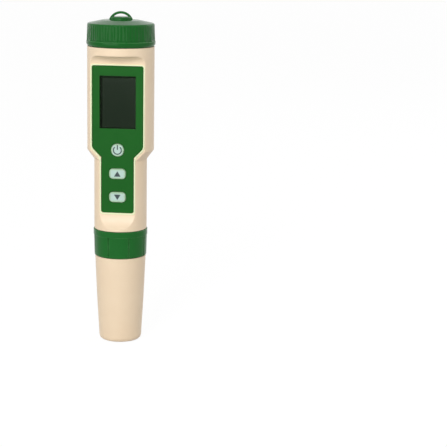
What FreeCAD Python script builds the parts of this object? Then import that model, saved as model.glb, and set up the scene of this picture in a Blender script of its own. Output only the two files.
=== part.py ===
import FreeCAD, Part
import math
import os
import Sketcher
from types import SimpleNamespace

Vec = FreeCAD.Vector

# Pocket water tester in the form of a thick pen. It stands on the flat bottom of its protective
# cover: +Z runs up the pen, the front with the display faces -Y, and the origin is the centre of
# the bottom face. All sizes are in millimetres.

doc = FreeCAD.newDocument("pen_meter")
sheet = doc.addObject("Spreadsheet::Sheet", "sizes")

driving_sizes = {
    # protective cover
    "cover_length": 48.9, "cover_base_r": 11.75, "cover_rim_r": 14.2, "cover_bulge": 0.18,
    "cover_wall": 1.7, "cover_floor": 2.0, "cover_round": 2.2,
    # storage sponge
    "sponge_height": 6.0, "sponge_gap": 0.4,
    # clearances
    "seam": 0.25, "face_gap": 0.1, "slip_gap": 0.3, "fit_gap": 0.05, "key_gap": 0.25,
    # lock ring
    "ring_length": 15.1, "ring_top_r": 15.1, "ring_foot_r": 14.6, "ring_lip": 1.75,
    "ring_band": 3.4, "ring_groove_depth": 0.35, "ring_groove_width": 0.7, "ring_pads": 8,
    "ring_step": 0.2, "ring_angle": 27.5,
    # housing
    "grip_r": 14.65, "grip_length": 39.3, "shoulder_length": 5.2, "barrel_r": 18.5,
    "barrel_length": 57.0, "housing_wall": 2.0, "collar_r": 12.8, "collar_length": 10.1,
    "collar_bore_r": 11.1, "neck_r": 15.9, "neck_length": 9.6, "neck_wall": 2.0,
    "neck_seal_r": 0.6, "rail_grip": 0.9, "rail_reach": 3.2,
    "rail_thick": 1.2, "rail_clear": 3.0,
    # flat front and its scooped ends
    "flat_y": 10.6, "front_wall": 2.4, "scoop_drop": 4.6, "scoop_top_r": 4.6,
    "scoop_foot_drop": 3.4, "scoop_foot_r": 14.4, "crease_round": 0.9,
    # green front panel
    "panel_thick": 1.2, "panel_half": 14.1, "panel_waist_half": 9.0, "panel_top_drop": 10.0,
    "panel_foot_rise": 10.1, "panel_waist_rise": 1.8, "panel_round": 1.1, "panel_gap": 0.15,
    "panel_bevel": 0.2,
    # display
    "window_width": 20.1, "window_height": 29.0, "window_drop": 5.4, "lens_thick": 0.8,
    "lens_lap": 0.5, "lcd_thick": 2.2, "lcd_inset": 0.25, "frame_wall": 1.2, "zebra_depth": 1.8,
    # keys
    "power_drop": 11.8, "power_r": 3.55, "key_pitch": 13.1, "power_to_up": 13.2,
    "key_width": 9.2, "key_height": 5.75, "key_corner_r": 2.2, "key_proud": 0.55,
    "key_bevel": 0.3, "key_flange": 0.7, "key_flange_lip": 0.8, "key_travel": 0.5,
    "stem_r": 1.4,
    # circuit board and what it carries
    "board_thick": 1.6, "board_width": 26.6, "board_waist_width": 21.6, "board_front_y": 3.6,
    "switch_size": 6.0, "switch_height": 1.0, "plunger_r": 1.6, "plunger_height": 0.4,
    "chip_size": 10.0, "chip_thick": 1.2, "chip_drop": 6.0,
    "buzzer_r": 4.5, "buzzer_height": 3.0, "block_size": 3.2, "block_spread": 6.0,
    "block_pitch": 7.0,
    # batteries
    "cell_r": 5.8, "cell_height": 5.4, "cell_count": 4, "cell_y": 4.7, "holder_wall": 0.6,
    "holder_floor": 1.5, "holder_flange": 1.5, "holder_top_rise": 0.6,
    "holder_depth": 27.0, "cell_gap": 0.1, "cell_pole_r": 4.2, "leaf_rise": 3.9, "leaf_half": 4.5,
    "leaf_width": 5.0, "leaf_thick": 0.35,
    # battery cap
    "cap_r": 19.0, "cap_band": 2.8, "cap_side": 8.9, "cap_top_r": 18.45, "cap_edge_r": 0.7,
    "cap_dome": 2.5, "cap_step": 0.15, "cap_chamfer": 0.8,
    "cap_headroom": 0.9, "flute_stop": 1.2, "boss_bevel": 0.5, "loop_bevel": 0.35,
    "cap_angle": 9.5, "rivet_r": 1.0, "rivet_length": 4.0, "post_draft": 0.6, "cap_flutes": 20, "flute_depth": 0.35, "flute_r": 20.0,
    "boss_r": 5.6, "boss_rise": 0.9, "loop_half": 6.6, "loop_rise": 3.8, "loop_thick": 1.3,
    "loop_depth": 2.4, "plate_r": 6.4, "plate_thick": 0.6,
    # probe
    "spigot_r": 12.15, "spigot_length": 13.0, "plug_r": 7.5,
    "plug_length": 9.0, "shroud_r": 9.9, "shroud_wall": 1.5, "shroud_tip": 13.0,
    "shroud_roof": 34.0, "slot_width": 5.0, "slot_height": 14.0, "slot_count": 4, "bulb_wire_r": 0.4, "seal_r": 0.6,
    "pin_r": 0.45, "pin_length": 3.6, "pin_circle_r": 4.6, "pin_count": 5,
    "glass_length": 18.6, "tube_r": 3.2, "glass_wall": 0.5, "socket_depth": 4.0,
    "electrode_r": 1.0, "electrode_length": 15.0, "sensor_r": 1.4, "sensor_length": 14.0,
    "sensor_circle_r": 5.4, "junction_r": 1.3, "socket_flange": 2.0, "socket_tail": 3.6, "socket_lift": 2.6,
}
for row, (alias, number) in enumerate(driving_sizes.items(), start=1):
    sheet.set(f"A{row}", str(number))
    sheet.setAlias(f"A{row}", alias)
doc.recompute()


class Size:
    """A length that knows its number and the spreadsheet formula behind it."""

    def __init__(self, number, formula):
        self.number = number
        self.formula = formula

    def combine(self, other, sign, number):
        return Size(number, f"({self.formula} {sign} {formula_of(other)})")

    def __add__(self, other):
        return self.combine(other, "+", self.number + number_of(other))

    def __sub__(self, other):
        return self.combine(other, "-", self.number - number_of(other))

    def __mul__(self, other):
        return self.combine(other, "*", self.number * number_of(other))

    def __truediv__(self, other):
        return self.combine(other, "/", self.number / number_of(other))

    def __neg__(self):
        return Size(-self.number, f"(0 - {self.formula})")

    __radd__ = __add__
    __rmul__ = __mul__

    def __rsub__(self, other):
        return -self + other


def number_of(value):
    return value.number if isinstance(value, Size) else float(value)


def formula_of(value):
    return value.formula if isinstance(value, Size) else repr(float(value))


s = SimpleNamespace(**{
    alias: Size(float(sheet.get(alias)), f"sizes.{alias}") for alias in driving_sizes
})
none = Size(0.0, "0")


def bind(thing, path, value):
    """Ties one property of an object to a size."""
    if isinstance(value, Size):
        thing.setExpression(path, value.formula)
    else:
        raise TypeError(path)


# Sketch and feature helpers

def new_body(name):
    body = doc.addObject("PartDesign::Body", name)
    body.Label = name
    return body


def sketch_on(body, name, role, offset=None):
    """A sketch on one of the body's own origin planes, moved out along the plane's normal."""
    plane = next(f for f in body.Origin.OriginFeatures if f.Role == role)
    sketch = body.newObject("Sketcher::SketchObject", name)
    sketch.AttachmentSupport = (plane, [""])
    sketch.MapMode = "FlatFace"
    if offset is not None:
        bind(sketch, "AttachmentOffset.Base.z", offset)
    return sketch


def hold(sketch, kind, *where, value):
    """Adds one dimension to a sketch and ties it to a size."""
    index = sketch.addConstraint(Sketcher.Constraint(kind, *where, number_of(value)))
    bind(sketch, f"Constraints[{index}]", value if isinstance(value, Size) else none + value)


def pin_point(sketch, edge, end, x, y):
    hold(sketch, "DistanceX", -1, 1, edge, end, value=x)
    hold(sketch, "DistanceY", -1, 1, edge, end, value=y)


def outline(sketch, corners):
    """Closed outline through the corners (x, y), or (x, y, bulge) where an arc leaves a corner.

    The bulge is the arc's rise over its chord, to the right of the way round.
    """
    ends = []
    for index, corner in enumerate(corners):
        x0, y0 = corner[0], corner[1]
        x1, y1 = corners[(index + 1) % len(corners)][:2]
        first = Vec(number_of(x0), number_of(y0), 0)
        last = Vec(number_of(x1), number_of(y1), 0)
        if len(corner) == 2:
            edge = sketch.addGeometry(Part.LineSegment(first, last))
            ends.append((edge, 1, 2))
            continue
        rise = corner[2]
        run = last - first
        out = Vec(run.y, -run.x, 0).normalize() * number_of(rise)
        middle = (first + last) / 2 + out
        if number_of(rise) > 0:
            edge = sketch.addGeometry(Part.ArcOfCircle(first, middle, last))
            ends.append((edge, 1, 2))
        else:
            edge = sketch.addGeometry(Part.ArcOfCircle(last, middle, first))
            ends.append((edge, 2, 1))
        chord = (x1 - x0) * (x1 - x0) + (y1 - y0) * (y1 - y0)
        height = rise if number_of(rise) > 0 else -rise
        hold(sketch, "Radius", edge, value=chord / (height * 8) + height / 2)
    for index, (edge, start, end) in enumerate(ends):
        following = ends[(index + 1) % len(ends)]
        sketch.addConstraint(Sketcher.Constraint("Coincident", edge, end, following[0], following[1]))
        pin_point(sketch, edge, start, corners[index][0], corners[index][1])


def circle(sketch, x, y, radius):
    edge = sketch.addGeometry(Part.Circle(Vec(number_of(x), number_of(y), 0), Vec(0, 0, 1), number_of(radius)))
    hold(sketch, "Radius", edge, value=radius)
    pin_point(sketch, edge, 3, x, y)


def rectangle(sketch, x, y, width, height):
    """A rectangle centred on (x, y)."""
    outline(sketch, [
        (x - width / 2, y - height / 2), (x + width / 2, y - height / 2),
        (x + width / 2, y + height / 2), (x - width / 2, y + height / 2),
    ])


def extrude(body, kind, sketch, length, backwards=False, middle=False):
    feature = body.newObject("PartDesign::" + kind, sketch.Name + "_" + kind.lower())
    feature.Profile = sketch
    bind(feature, "Length", length if isinstance(length, Size) else none + length)
    feature.Reversed = backwards
    feature.Midplane = middle
    sketch.Visibility = False
    return feature


def pad(body, sketch, length, **options):
    return extrude(body, "Pad", sketch, length, **options)


def pocket(body, sketch, length, **options):
    return extrude(body, "Pocket", sketch, length, **options)


def turn(body, kind, sketch):
    feature = body.newObject("PartDesign::" + kind, sketch.Name + "_" + kind.lower())
    feature.Profile = sketch
    feature.ReferenceAxis = (sketch, ["V_Axis"])
    feature.Angle = 360
    return feature


def revolve(body, name, corners):
    """A solid of revolution about Z from (radius, height) corners."""
    sketch = sketch_on(body, name, "XZ_Plane")
    outline(sketch, corners)
    return turn(body, "Revolution", sketch)


def groove(body, name, corners):
    sketch = sketch_on(body, name, "XZ_Plane")
    outline(sketch, corners)
    return turn(body, "Groove", sketch)


def around_axis(body, feature, count):
    """Repeats a feature evenly about Z."""
    pattern = body.newObject("PartDesign::PolarPattern", feature.Name + "_round")
    pattern.Originals = [feature]
    axis = next(f for f in body.Origin.OriginFeatures if f.Role == "Z_Axis")
    pattern.Axis = (axis, [""])
    pattern.Angle = 360
    bind(pattern, "Occurrences", count)
    body.Tip = pattern
    return pattern


def edges_where(shape, wanted):
    return [f"Edge{i}" for i, edge in enumerate(shape.Edges, start=1) if wanted(edge)]


def soften(body, kind, base, wanted, size):
    """Fillets or chamfers the edges of the base feature that the test picks."""
    doc.recompute()
    names = edges_where(base.Shape, wanted)
    if not names:
        raise ValueError(f"{body.Name}: no edge for the {kind.lower()}")
    feature = body.newObject("PartDesign::" + kind, f"{base.Name}_{kind.lower()}")
    feature.Base = (base, names)
    bind(feature, "Radius" if kind == "Fillet" else "Size", size)
    return feature


def cut_away(body, name, tool):
    """Takes another body's solid out of this one."""
    feature = body.newObject("PartDesign::Boolean", name)
    feature.setObjects([tool])
    feature.Type = "Cut"
    return feature


def near(value, target, slack=0.02):
    return abs(value - number_of(target)) < slack


def is_ring(edge, radius, height):
    """True for a full circle about Z of this radius at this height."""
    box = edge.BoundBox
    flat = near(box.ZMin, height) and near(box.ZMax, height)
    return flat and near(box.XMax, radius, 0.05) and near(box.XMin, -number_of(radius), 0.05)


def is_straight(edge, axis):
    """True for a straight edge along the axis 'x', 'y' or 'z'."""
    if not isinstance(edge.Curve, Part.Line):
        return False
    return abs(getattr(edge.Curve.Direction, axis)) > 0.999


# Heights that more than one piece shares
ring_z = s.cover_length + s.seam
ring_top_z = ring_z + s.ring_length
grip_z = ring_top_z + s.seam
collar_z = grip_z - s.collar_length
shoulder_z = grip_z + s.grip_length
barrel_z = shoulder_z + s.shoulder_length
barrel_top_z = barrel_z + s.barrel_length
neck_top_z = barrel_top_z + s.neck_length
seat_z = grip_z + s.housing_wall
roof_z = barrel_top_z - s.housing_wall
neck_bore_r = s.neck_r - s.neck_wall

# Depths behind the flat front, as Y values
panel_back_y = s.flat_y - s.panel_thick
lens_back_y = panel_back_y - s.lens_thick
lcd_back_y = lens_back_y - s.lcd_thick
board_back_y = s.board_front_y - s.board_thick

stem_y = s.board_front_y + s.switch_height + s.plunger_height + s.key_travel + s.face_gap

# Heights on the front
panel_top_z = barrel_top_z - s.panel_top_drop
panel_foot_z = grip_z + s.panel_foot_rise
window_z = panel_top_z - s.window_drop - s.window_height / 2
lens_width = s.window_width + s.lens_lap * 2
lens_height = s.window_height + s.lens_lap * 2
lcd_width = lens_width - s.lcd_inset * 2
lcd_height = lens_height - s.lcd_inset * 2
power_z = panel_top_z - s.window_drop - s.window_height - s.power_drop
up_z = power_z - s.power_to_up
down_z = up_z - s.key_pitch

# Heights inside
holder_top_z = barrel_top_z + s.holder_top_rise
board_top_z = holder_top_z - s.holder_flange - s.face_gap
board_foot_z = seat_z + s.socket_flange + s.socket_tail + s.face_gap
neck_seal_z = barrel_top_z + s.neck_seal_r * 2
holder_foot_z = holder_top_z - s.holder_depth
stack_z = holder_foot_z + s.holder_floor + s.leaf_rise
stack_top_z = stack_z + s.cell_height * s.cell_count
plate_z = stack_top_z + s.face_gap
post_foot_z = plate_z + s.plate_thick + s.face_gap
cap_z = barrel_top_z + s.seam
cap_roof_z = neck_top_z + s.cap_headroom
cap_bore_r = s.neck_r + s.slip_gap

# Heights of the probe
flange_z = ring_z + s.ring_lip + s.face_gap
flange_top_z = collar_z - s.face_gap
plug_top_z = flange_top_z + s.plug_length
cover_seal_z = flange_z - s.spigot_length / 2
plug_seal_z = flange_top_z + s.plug_length / 2

# Height of a quarter circle over its chord, for a radius of one
quarter_rise = 1 - math.sqrt(0.5)


def rounded_rectangle(sketch, x, z, width, height, radius):
    left, right = x - width / 2, x + width / 2
    low, high = z - height / 2, z + height / 2
    rise = radius * quarter_rise
    outline(sketch, [
        (left + radius, low), (right - radius, low, rise), (right, low + radius),
        (right, high - radius, rise), (right - radius, high), (left + radius, high, rise),
        (left, high - radius), (left, low + radius, rise),
    ])


def key_shape(sketch, key, grow):
    """The outline of the round power key or of an arrow key, grown evenly."""
    if key == "power":
        circle(sketch, none, none, s.power_r + grow)
    else:
        rounded_rectangle(
            sketch, none, none, s.key_width + grow * 2, s.key_height + grow * 2,
            s.key_corner_r + grow,
        )


def borders_flat(edge):
    """True for an edge where the flat front, or a scooped end of it, meets the round of the tube."""
    box = edge.BoundBox
    in_front = box.YMax < -s.flat_y.number + 0.02 and box.ZMin > grip_z.number
    return in_front and not is_straight(edge, "x")


def bounds_shoulder(edge):
    """True for the round edges above and below the sloping shoulder."""
    box = edge.BoundBox
    level = near(box.ZMin, box.ZMax) and box.YMax > 0
    return level and (near(box.ZMin, barrel_z) or near(box.ZMin, shoulder_z))


# Housing: one moulded tube with a barrel for the display and a slimmer grip, cut flat in front

def scoop_tool(name, grow):
    """The space in front of the flat, with rounded ends; grown, it keeps the front wall's skin."""
    tool = new_body(name)
    flat = -(s.flat_y - grow)
    top = barrel_top_z - s.scoop_drop + grow
    foot = grip_z - s.scoop_foot_drop - grow
    top_r = s.scoop_top_r + grow
    foot_r = s.scoop_foot_r + grow
    far = -(s.barrel_r * 2)
    sketch = sketch_on(tool, name + "_side", "YZ_Plane")
    outline(sketch, [
        (flat, foot + foot_r), (flat, top - top_r, top_r * quarter_rise), (flat - top_r, top),
        (far, top), (far, foot), (flat - foot_r, foot, foot_r * quarter_rise),
    ])
    pad(tool, sketch, s.barrel_r * 4, middle=True)
    return tool


def housing_hollow():
    """The inside of the housing, kept clear of the front wall."""
    hollow = new_body("housing_hollow")
    lift = s.housing_wall / 2
    revolve(hollow, "hollow_side", [
        (none, collar_z), (s.collar_bore_r, collar_z), (s.collar_bore_r, seat_z),
        (s.grip_r - s.housing_wall, seat_z), (s.grip_r - s.housing_wall, shoulder_z + lift),
        (s.barrel_r - s.housing_wall, barrel_z + lift), (s.barrel_r - s.housing_wall, roof_z),
        (neck_bore_r, roof_z), (neck_bore_r, neck_top_z), (none, neck_top_z),
    ])
    cut_away(hollow, "front_skin", scoop_tool("front_skin_tool", s.front_wall))
    return hollow


def rail(body, name, side, width, low, high):
    """A pair of ribs inside one wall that grip the edge of the circuit board."""
    board_edge = width / 2
    inner = board_edge - s.rail_grip
    outer = board_edge + s.rail_reach
    centre = (inner + outer) / 2 * side
    sketch = sketch_on(body, name, "XY_Plane", low)
    for y in (
        -(s.board_front_y + s.fit_gap + s.rail_thick / 2),
        -(board_back_y - s.fit_gap - s.rail_thick / 2),
    ):
        rectangle(sketch, centre, y, outer - inner, s.rail_thick)
    return pad(body, sketch, high - low)


def make_housing():
    housing = new_body("main_housing")
    revolve(housing, "shell_side", [
        (none, collar_z), (s.collar_r, collar_z), (s.collar_r, grip_z), (s.grip_r, grip_z),
        (s.grip_r, shoulder_z), (s.barrel_r, barrel_z), (s.barrel_r, barrel_top_z),
        (s.neck_r, barrel_top_z), (s.neck_r, neck_top_z), (none, neck_top_z),
    ])
    scoop = cut_away(housing, "front_scoop", scoop_tool("front_scoop_tool", none))
    soften(housing, "Fillet", scoop, lambda edge: borders_flat(edge) or bounds_shoulder(edge),
           s.crease_round)
    cut_away(housing, "hollow", housing_hollow())
    for side in (-1, 1):
        word = "left" if side < 0 else "right"
        rail(housing, word + "_rail", side, s.board_width, barrel_z + s.rail_clear, board_top_z)
        rail(housing, word + "_grip_rail", side, s.board_waist_width, board_foot_z,
             shoulder_z - s.rail_clear)

    recess = sketch_on(housing, "panel_recess", "XZ_Plane", s.flat_y)
    panel_outline(recess, s.panel_gap)
    pocket(housing, recess, s.panel_thick)
    aperture = sketch_on(housing, "display_aperture", "XZ_Plane", panel_back_y)
    rectangle(aperture, none, window_z, lens_width + s.panel_gap * 2, lens_height + s.panel_gap * 2)
    pocket(housing, aperture, s.front_wall)
    for key, height in (("power", power_z), ("up", up_z), ("down", down_z)):
        hole = sketch_on(housing, key + "_hole", "XZ_Plane", panel_back_y)
        hole.setExpression("AttachmentOffset.Base.y", height.formula)
        key_shape(hole, key, s.key_flange_lip + s.key_gap)
        pocket(housing, hole, s.front_wall)

    seal = s.neck_seal_r
    groove(housing, "neck_seal_groove", [
        (s.neck_r - seal * 2, neck_seal_z - seal), (s.neck_r + seal, neck_seal_z - seal),
        (s.neck_r + seal, neck_seal_z + seal), (s.neck_r - seal * 2, neck_seal_z + seal),
    ])
    return housing


def panel_outline(sketch, grow):
    """Wide beside the display, narrow beside the keys, grown evenly for its recess."""
    top = panel_top_z + grow
    foot = panel_foot_z - grow
    high = barrel_z + s.panel_waist_rise
    low = shoulder_z + s.panel_waist_rise
    wide = s.panel_half + grow
    slim = s.panel_waist_half + grow
    outline(sketch, [
        (-wide, top), (-wide, high), (-slim, low), (-slim, foot),
        (slim, foot), (slim, low), (wide, high), (wide, top),
    ])


def make_front_panel():
    panel = new_body("front_panel")
    sketch = sketch_on(panel, "panel_outline", "XZ_Plane", s.flat_y)
    panel_outline(sketch, none)
    plate = pad(panel, sketch, s.panel_thick, backwards=True)
    rounded = soften(panel, "Fillet", plate, lambda edge: is_straight(edge, "y"), s.panel_round)
    soften(panel, "Chamfer", rounded, lambda edge: near(edge.BoundBox.YMax, -s.flat_y)
           and near(edge.BoundBox.YMin, -s.flat_y), s.panel_bevel)
    window = sketch_on(panel, "window_cut", "XZ_Plane", s.flat_y)
    rectangle(window, none, window_z, s.window_width, s.window_height)
    pocket(panel, window, s.panel_thick)
    for key, height in (("power", power_z), ("up", up_z), ("down", down_z)):
        hole = sketch_on(panel, key + "_opening", "XZ_Plane", s.flat_y)
        hole.setExpression("AttachmentOffset.Base.y", height.formula)
        key_shape(hole, key, s.key_gap)
        pocket(panel, hole, s.panel_thick)
    return panel


def front_plate(name, width, height, centre_z, front_y, thick):
    """A flat rectangular piece that faces the front."""
    plate = new_body(name)
    sketch = sketch_on(plate, name + "_outline", "XZ_Plane", front_y)
    rectangle(sketch, none, centre_z, width, height)
    pad(plate, sketch, thick, backwards=True)
    return plate


def make_display():
    lens = front_plate("display_window", lens_width, lens_height, window_z, panel_back_y, s.lens_thick)
    lcd = front_plate("lcd_glass", lcd_width, lcd_height, window_z, lens_back_y, s.lcd_thick)
    frame = front_plate(
        "lcd_frame", lcd_width + s.frame_wall * 2, lcd_height + s.frame_wall * 2, window_z,
        lcd_back_y, lcd_back_y - s.board_front_y,
    )
    opening = sketch_on(frame, "frame_opening", "XZ_Plane", lcd_back_y)
    rectangle(opening, none, window_z, lcd_width - s.frame_wall * 2, lcd_height - s.frame_wall * 2)
    pocket(frame, opening, lcd_back_y - s.board_front_y)
    zebra_z = window_z - lcd_height / 2 + s.frame_wall + s.zebra_depth / 2 + s.fit_gap
    zebra = front_plate(
        "zebra_strip", lcd_width - s.frame_wall * 2 - s.slip_gap, s.zebra_depth, zebra_z,
        lcd_back_y, lcd_back_y - s.board_front_y,
    )
    return [lens, lcd, frame, zebra]


def make_key(key, height):
    """A key cap with a flange that stops behind the panel and a stem that reaches its switch."""
    body = new_body(key + "_key")
    face = sketch_on(body, key + "_face", "XZ_Plane", s.flat_y + s.key_proud)
    key_shape(face, key, none)
    cap = pad(body, face, s.key_proud + s.panel_thick + s.face_gap, backwards=True)
    front = s.flat_y + s.key_proud
    soften(body, "Chamfer", cap, lambda edge: near(edge.BoundBox.YMax, -front)
           and near(edge.BoundBox.YMin, -front), s.key_bevel)
    flange = sketch_on(body, key + "_flange", "XZ_Plane", panel_back_y - s.fit_gap)
    key_shape(flange, key, s.key_flange_lip)
    pad(body, flange, s.key_flange, backwards=True)
    stem = sketch_on(body, key + "_stem", "XZ_Plane", stem_y)
    circle(stem, none, none, s.stem_r)
    pad(body, stem, panel_back_y - s.key_flange - stem_y)
    bind(body, "Placement.Base.z", height)
    return body


# Circuit board and battery holder

def make_circuit_board():
    board = new_body("circuit_board")
    sketch = sketch_on(board, "board_outline", "XZ_Plane", s.board_front_y)
    wide = s.board_width / 2
    slim = s.board_waist_width / 2
    outline(sketch, [
        (-wide, board_top_z), (-wide, barrel_z + s.rail_clear), (-slim, shoulder_z),
        (-slim, board_foot_z), (slim, board_foot_z), (slim, shoulder_z),
        (wide, barrel_z + s.rail_clear), (wide, board_top_z),
    ])
    pad(board, sketch, s.board_thick, backwards=True)
    return board


def solid(kind, name, place, turn_about_x=0, **sizes):
    """A Part primitive with its sizes and its place tied to the sheet."""
    shape = doc.addObject("Part::" + kind, name)
    shape.Placement = FreeCAD.Placement(Vec(), FreeCAD.Rotation(Vec(1, 0, 0), turn_about_x))
    for prop, value in sizes.items():
        bind(shape, prop, value)
    for axis, value in zip("xyz", place):
        bind(shape, "Placement.Base." + axis, value)
    return shape


def group(name, members):
    """Several separate solids of one kind, kept as one named piece."""
    pack = doc.addObject("Part::Compound", name)
    pack.Label = name
    pack.Links = members
    return pack


def make_key_switches():
    """One push switch under each key, with a round plunger on a square case."""
    switches = []
    for key, height in (("power", power_z), ("up", up_z), ("down", down_z)):
        case = solid(
            "Box", key + "_switch_case",
            (none - s.switch_size / 2, -(s.board_front_y + s.switch_height),
             height - s.switch_size / 2),
            Length=s.switch_size, Width=s.switch_height, Height=s.switch_size,
        )
        plunger = solid(
            "Cylinder", key + "_plunger", (none, -s.board_front_y, height), 90,
            Radius=s.plunger_r, Height=s.switch_height + s.plunger_height,
        )
        switch = doc.addObject("Part::Fuse", key + "_switch")
        switch.Base = case
        switch.Tool = plunger
        switches.append(switch)
    return group("key_switches", switches)


def make_controller_chip():
    chip = solid(
        "Box", "controller_chip_block",
        (none - s.chip_size / 2, -board_back_y, window_z - s.chip_size - s.chip_drop),
        Length=s.chip_size, Width=s.chip_thick, Height=s.chip_size,
    )
    return group("controller_chip", [chip])


def make_board_parts():
    """The crystal, the buzzer and the small blocks on the back of the board."""
    buzzer = solid("Cylinder", "buzzer", (none, -board_back_y + s.buzzer_height, power_z), 90,
                   Radius=s.buzzer_r, Height=s.buzzer_height)
    blocks = [buzzer]
    for index in range(4):
        side = -1 if index % 2 else 1
        blocks.append(solid(
            "Box", f"block_{index + 1}",
            (none + s.block_spread * side - s.block_size / 2, -board_back_y,
             up_z - s.block_pitch * (index // 2)),
            Length=s.block_size, Width=s.chip_thick, Height=s.block_size,
        ))
    return group("board_parts", blocks)


def make_battery_holder():
    """A tube for the cell stack under a round flange that fills the neck."""
    holder = new_body("battery_holder")
    tube_r = s.cell_r + s.cell_gap + s.holder_wall
    flange = sketch_on(holder, "holder_flange", "XY_Plane", holder_top_z - s.holder_flange)
    circle(flange, none, none, neck_bore_r - s.slip_gap)
    pad(holder, flange, s.holder_flange)
    tube = sketch_on(holder, "holder_tube", "XY_Plane", holder_foot_z)
    circle(tube, none, s.cell_y, tube_r)
    pad(holder, tube, holder_top_z - holder_foot_z)
    bore = sketch_on(holder, "holder_bore", "XY_Plane", holder_top_z)
    circle(bore, none, s.cell_y, s.cell_r + s.cell_gap)
    pocket(holder, bore, holder_top_z - holder_foot_z - s.holder_floor)
    return holder


def make_button_cells():
    """A stack of button cells, each with its raised cap-like pole at the bottom."""
    cells = []
    rim = s.cell_height * 0.25
    for index in range(int(s.cell_count.number)):
        foot = stack_z + s.cell_height * index
        pole = solid("Cylinder", f"cell_{index + 1}_pole", (none, s.cell_y, foot),
                     Radius=s.cell_pole_r, Height=rim)
        can = solid("Cylinder", f"cell_{index + 1}_can", (none, s.cell_y, foot + rim),
                    Radius=s.cell_r, Height=s.cell_height - rim)
        cell = doc.addObject("Part::Fuse", f"cell_{index + 1}")
        cell.Base = can
        cell.Tool = pole
        cells.append(cell)
    return group("button_cells", cells)


def make_leaf_contact():
    """The folded leaf spring that presses on the lowest cell."""
    leaf = new_body("leaf_contact")
    foot = holder_foot_z + s.holder_floor
    thick = s.leaf_thick
    half = s.leaf_half
    top = stack_z - s.fit_gap
    side = sketch_on(leaf, "leaf_side", "XZ_Plane")
    outline(side, [
        (-half, foot), (half, foot), (half, foot + thick * 2), (-(half / 3), top), (-half, top),
        (-half, top - thick), (-(half / 3), top - thick), (half * 0.7, foot + thick),
        (-half, foot + thick),
    ])
    pad(leaf, side, s.leaf_width, middle=True)
    bind(leaf, "Placement.Base.y", s.cell_y)
    return leaf


def seal_ring(name, radius, ring_r, height):
    """A sealing ring about Z whose section is a regular octagon."""
    seal = new_body(name)
    near_r = ring_r * math.tan(math.pi / 8)
    revolve(seal, name + "_section", [
        (radius - ring_r, height - near_r), (radius - near_r, height - ring_r),
        (radius + near_r, height - ring_r), (radius + ring_r, height - near_r),
        (radius + ring_r, height + near_r), (radius + near_r, height + ring_r),
        (radius - near_r, height + ring_r), (radius - ring_r, height + near_r),
    ])
    return seal


# Battery cap

def make_battery_cap():
    cap = new_body("battery_cap")
    side_top = cap_z + s.cap_band + s.cap_side
    dome_z = side_top + s.cap_edge_r
    apex_z = dome_z + s.cap_dome
    dome_r = s.cap_top_r - s.cap_edge_r
    side_r = s.cap_r - s.cap_step
    revolve(cap, "cap_side", [
        (s.rivet_r + s.slip_gap, post_foot_z), (s.plate_r, post_foot_z),
        (s.plate_r + s.post_draft, cap_roof_z), (cap_bore_r, cap_roof_z), (cap_bore_r, cap_z),
        (s.cap_r - s.cap_chamfer, cap_z), (s.cap_r - s.cap_chamfer * 0.25, cap_z + s.cap_chamfer),
        (s.cap_r, cap_z + s.cap_chamfer * 2),
        (s.cap_r, cap_z + s.cap_band - s.cap_step), (side_r, cap_z + s.cap_band),
        (s.cap_top_r, side_top), (s.cap_top_r - s.cap_edge_r * 0.3, side_top + s.cap_edge_r * 0.7),
        (dome_r, dome_z),
        (dome_r * 0.6, dome_z + s.cap_dome * 0.62), (none, apex_z), (none, post_foot_z + s.rivet_length),
        (s.rivet_r + s.slip_gap, post_foot_z + s.rivet_length),
    ])
    flute = sketch_on(cap, "flute", "XY_Plane", cap_z + s.cap_band)
    circle(flute, none, -(side_r + s.flute_r - s.flute_depth), s.flute_r)
    cut = pocket(cap, flute, s.cap_side - s.flute_stop, backwards=True)
    around_axis(cap, cut, s.cap_flutes)

    boss = sketch_on(cap, "loop_boss", "XY_Plane", apex_z - s.boss_rise)
    circle(boss, none, none, s.boss_r)
    raised = pad(cap, boss, s.boss_rise * 2)
    soften(cap, "Chamfer", raised, lambda edge: is_ring(edge, s.boss_r, apex_z + s.boss_rise),
           s.boss_bevel)

    loop = sketch_on(cap, "loop", "XZ_Plane")
    foot = apex_z - s.boss_rise
    rise = s.loop_rise + s.boss_rise
    inner = s.loop_half - s.loop_thick
    outline(loop, [
        (s.loop_half, foot, rise), (-s.loop_half, foot), (-inner, foot, -(rise - s.loop_thick)),
        (inner, foot),
    ])
    arch = pad(cap, loop, s.loop_depth, middle=True)
    soften(cap, "Chamfer", arch, lambda edge: edge.BoundBox.ZMax > apex_z.number + 2
           and near(edge.BoundBox.YLength, 0), s.loop_bevel)
    cap.Placement = FreeCAD.Placement(Vec(), FreeCAD.Rotation(Vec(0, 0, 1), s.cap_angle.number))
    return cap


def make_contact_plate():
    """The disc that meets the top cell, riveted into the cap's post so that it can turn."""
    plate = new_body("contact_plate")
    revolve(plate, "plate_side", [
        (none, plate_z), (s.plate_r, plate_z), (s.plate_r, plate_z + s.plate_thick),
        (s.rivet_r, plate_z + s.plate_thick), (s.rivet_r, post_foot_z + s.rivet_length - s.slip_gap),
        (none, post_foot_z + s.rivet_length - s.slip_gap),
    ])
    return plate


# Lock ring

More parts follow.
